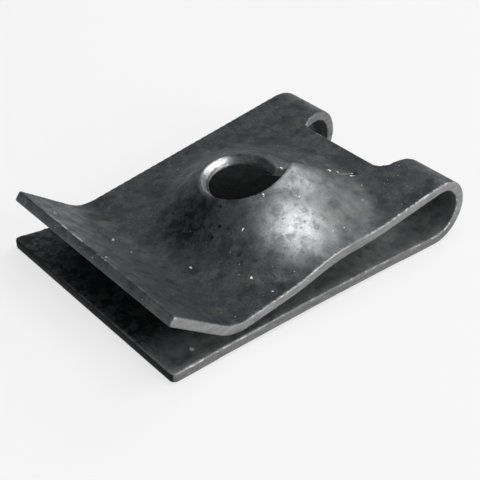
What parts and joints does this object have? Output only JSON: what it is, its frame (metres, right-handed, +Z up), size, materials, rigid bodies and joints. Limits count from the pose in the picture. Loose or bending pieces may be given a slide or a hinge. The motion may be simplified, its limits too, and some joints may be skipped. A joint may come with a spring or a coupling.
{
  "type": "u clip speed nut",
  "caption": "Folded spring steel clip that slides over a sheet edge and holds a screw in a thread pressed up in its upper leaf.",
  "frame": {"origin": "on the screw axis, in the plane the clip lies on", "axes": "+X runs from the mouth to the fold, +Z up along the screw axis, +Y across the strip"},
  "size_m": [0.0196, 0.0135, 0.0049],
  "materials": {
    "clip": "dark grey phosphated spring steel"
  },
  "bodies": {
    "root": {"clip": "clip"}
  },
  "joints": []
}
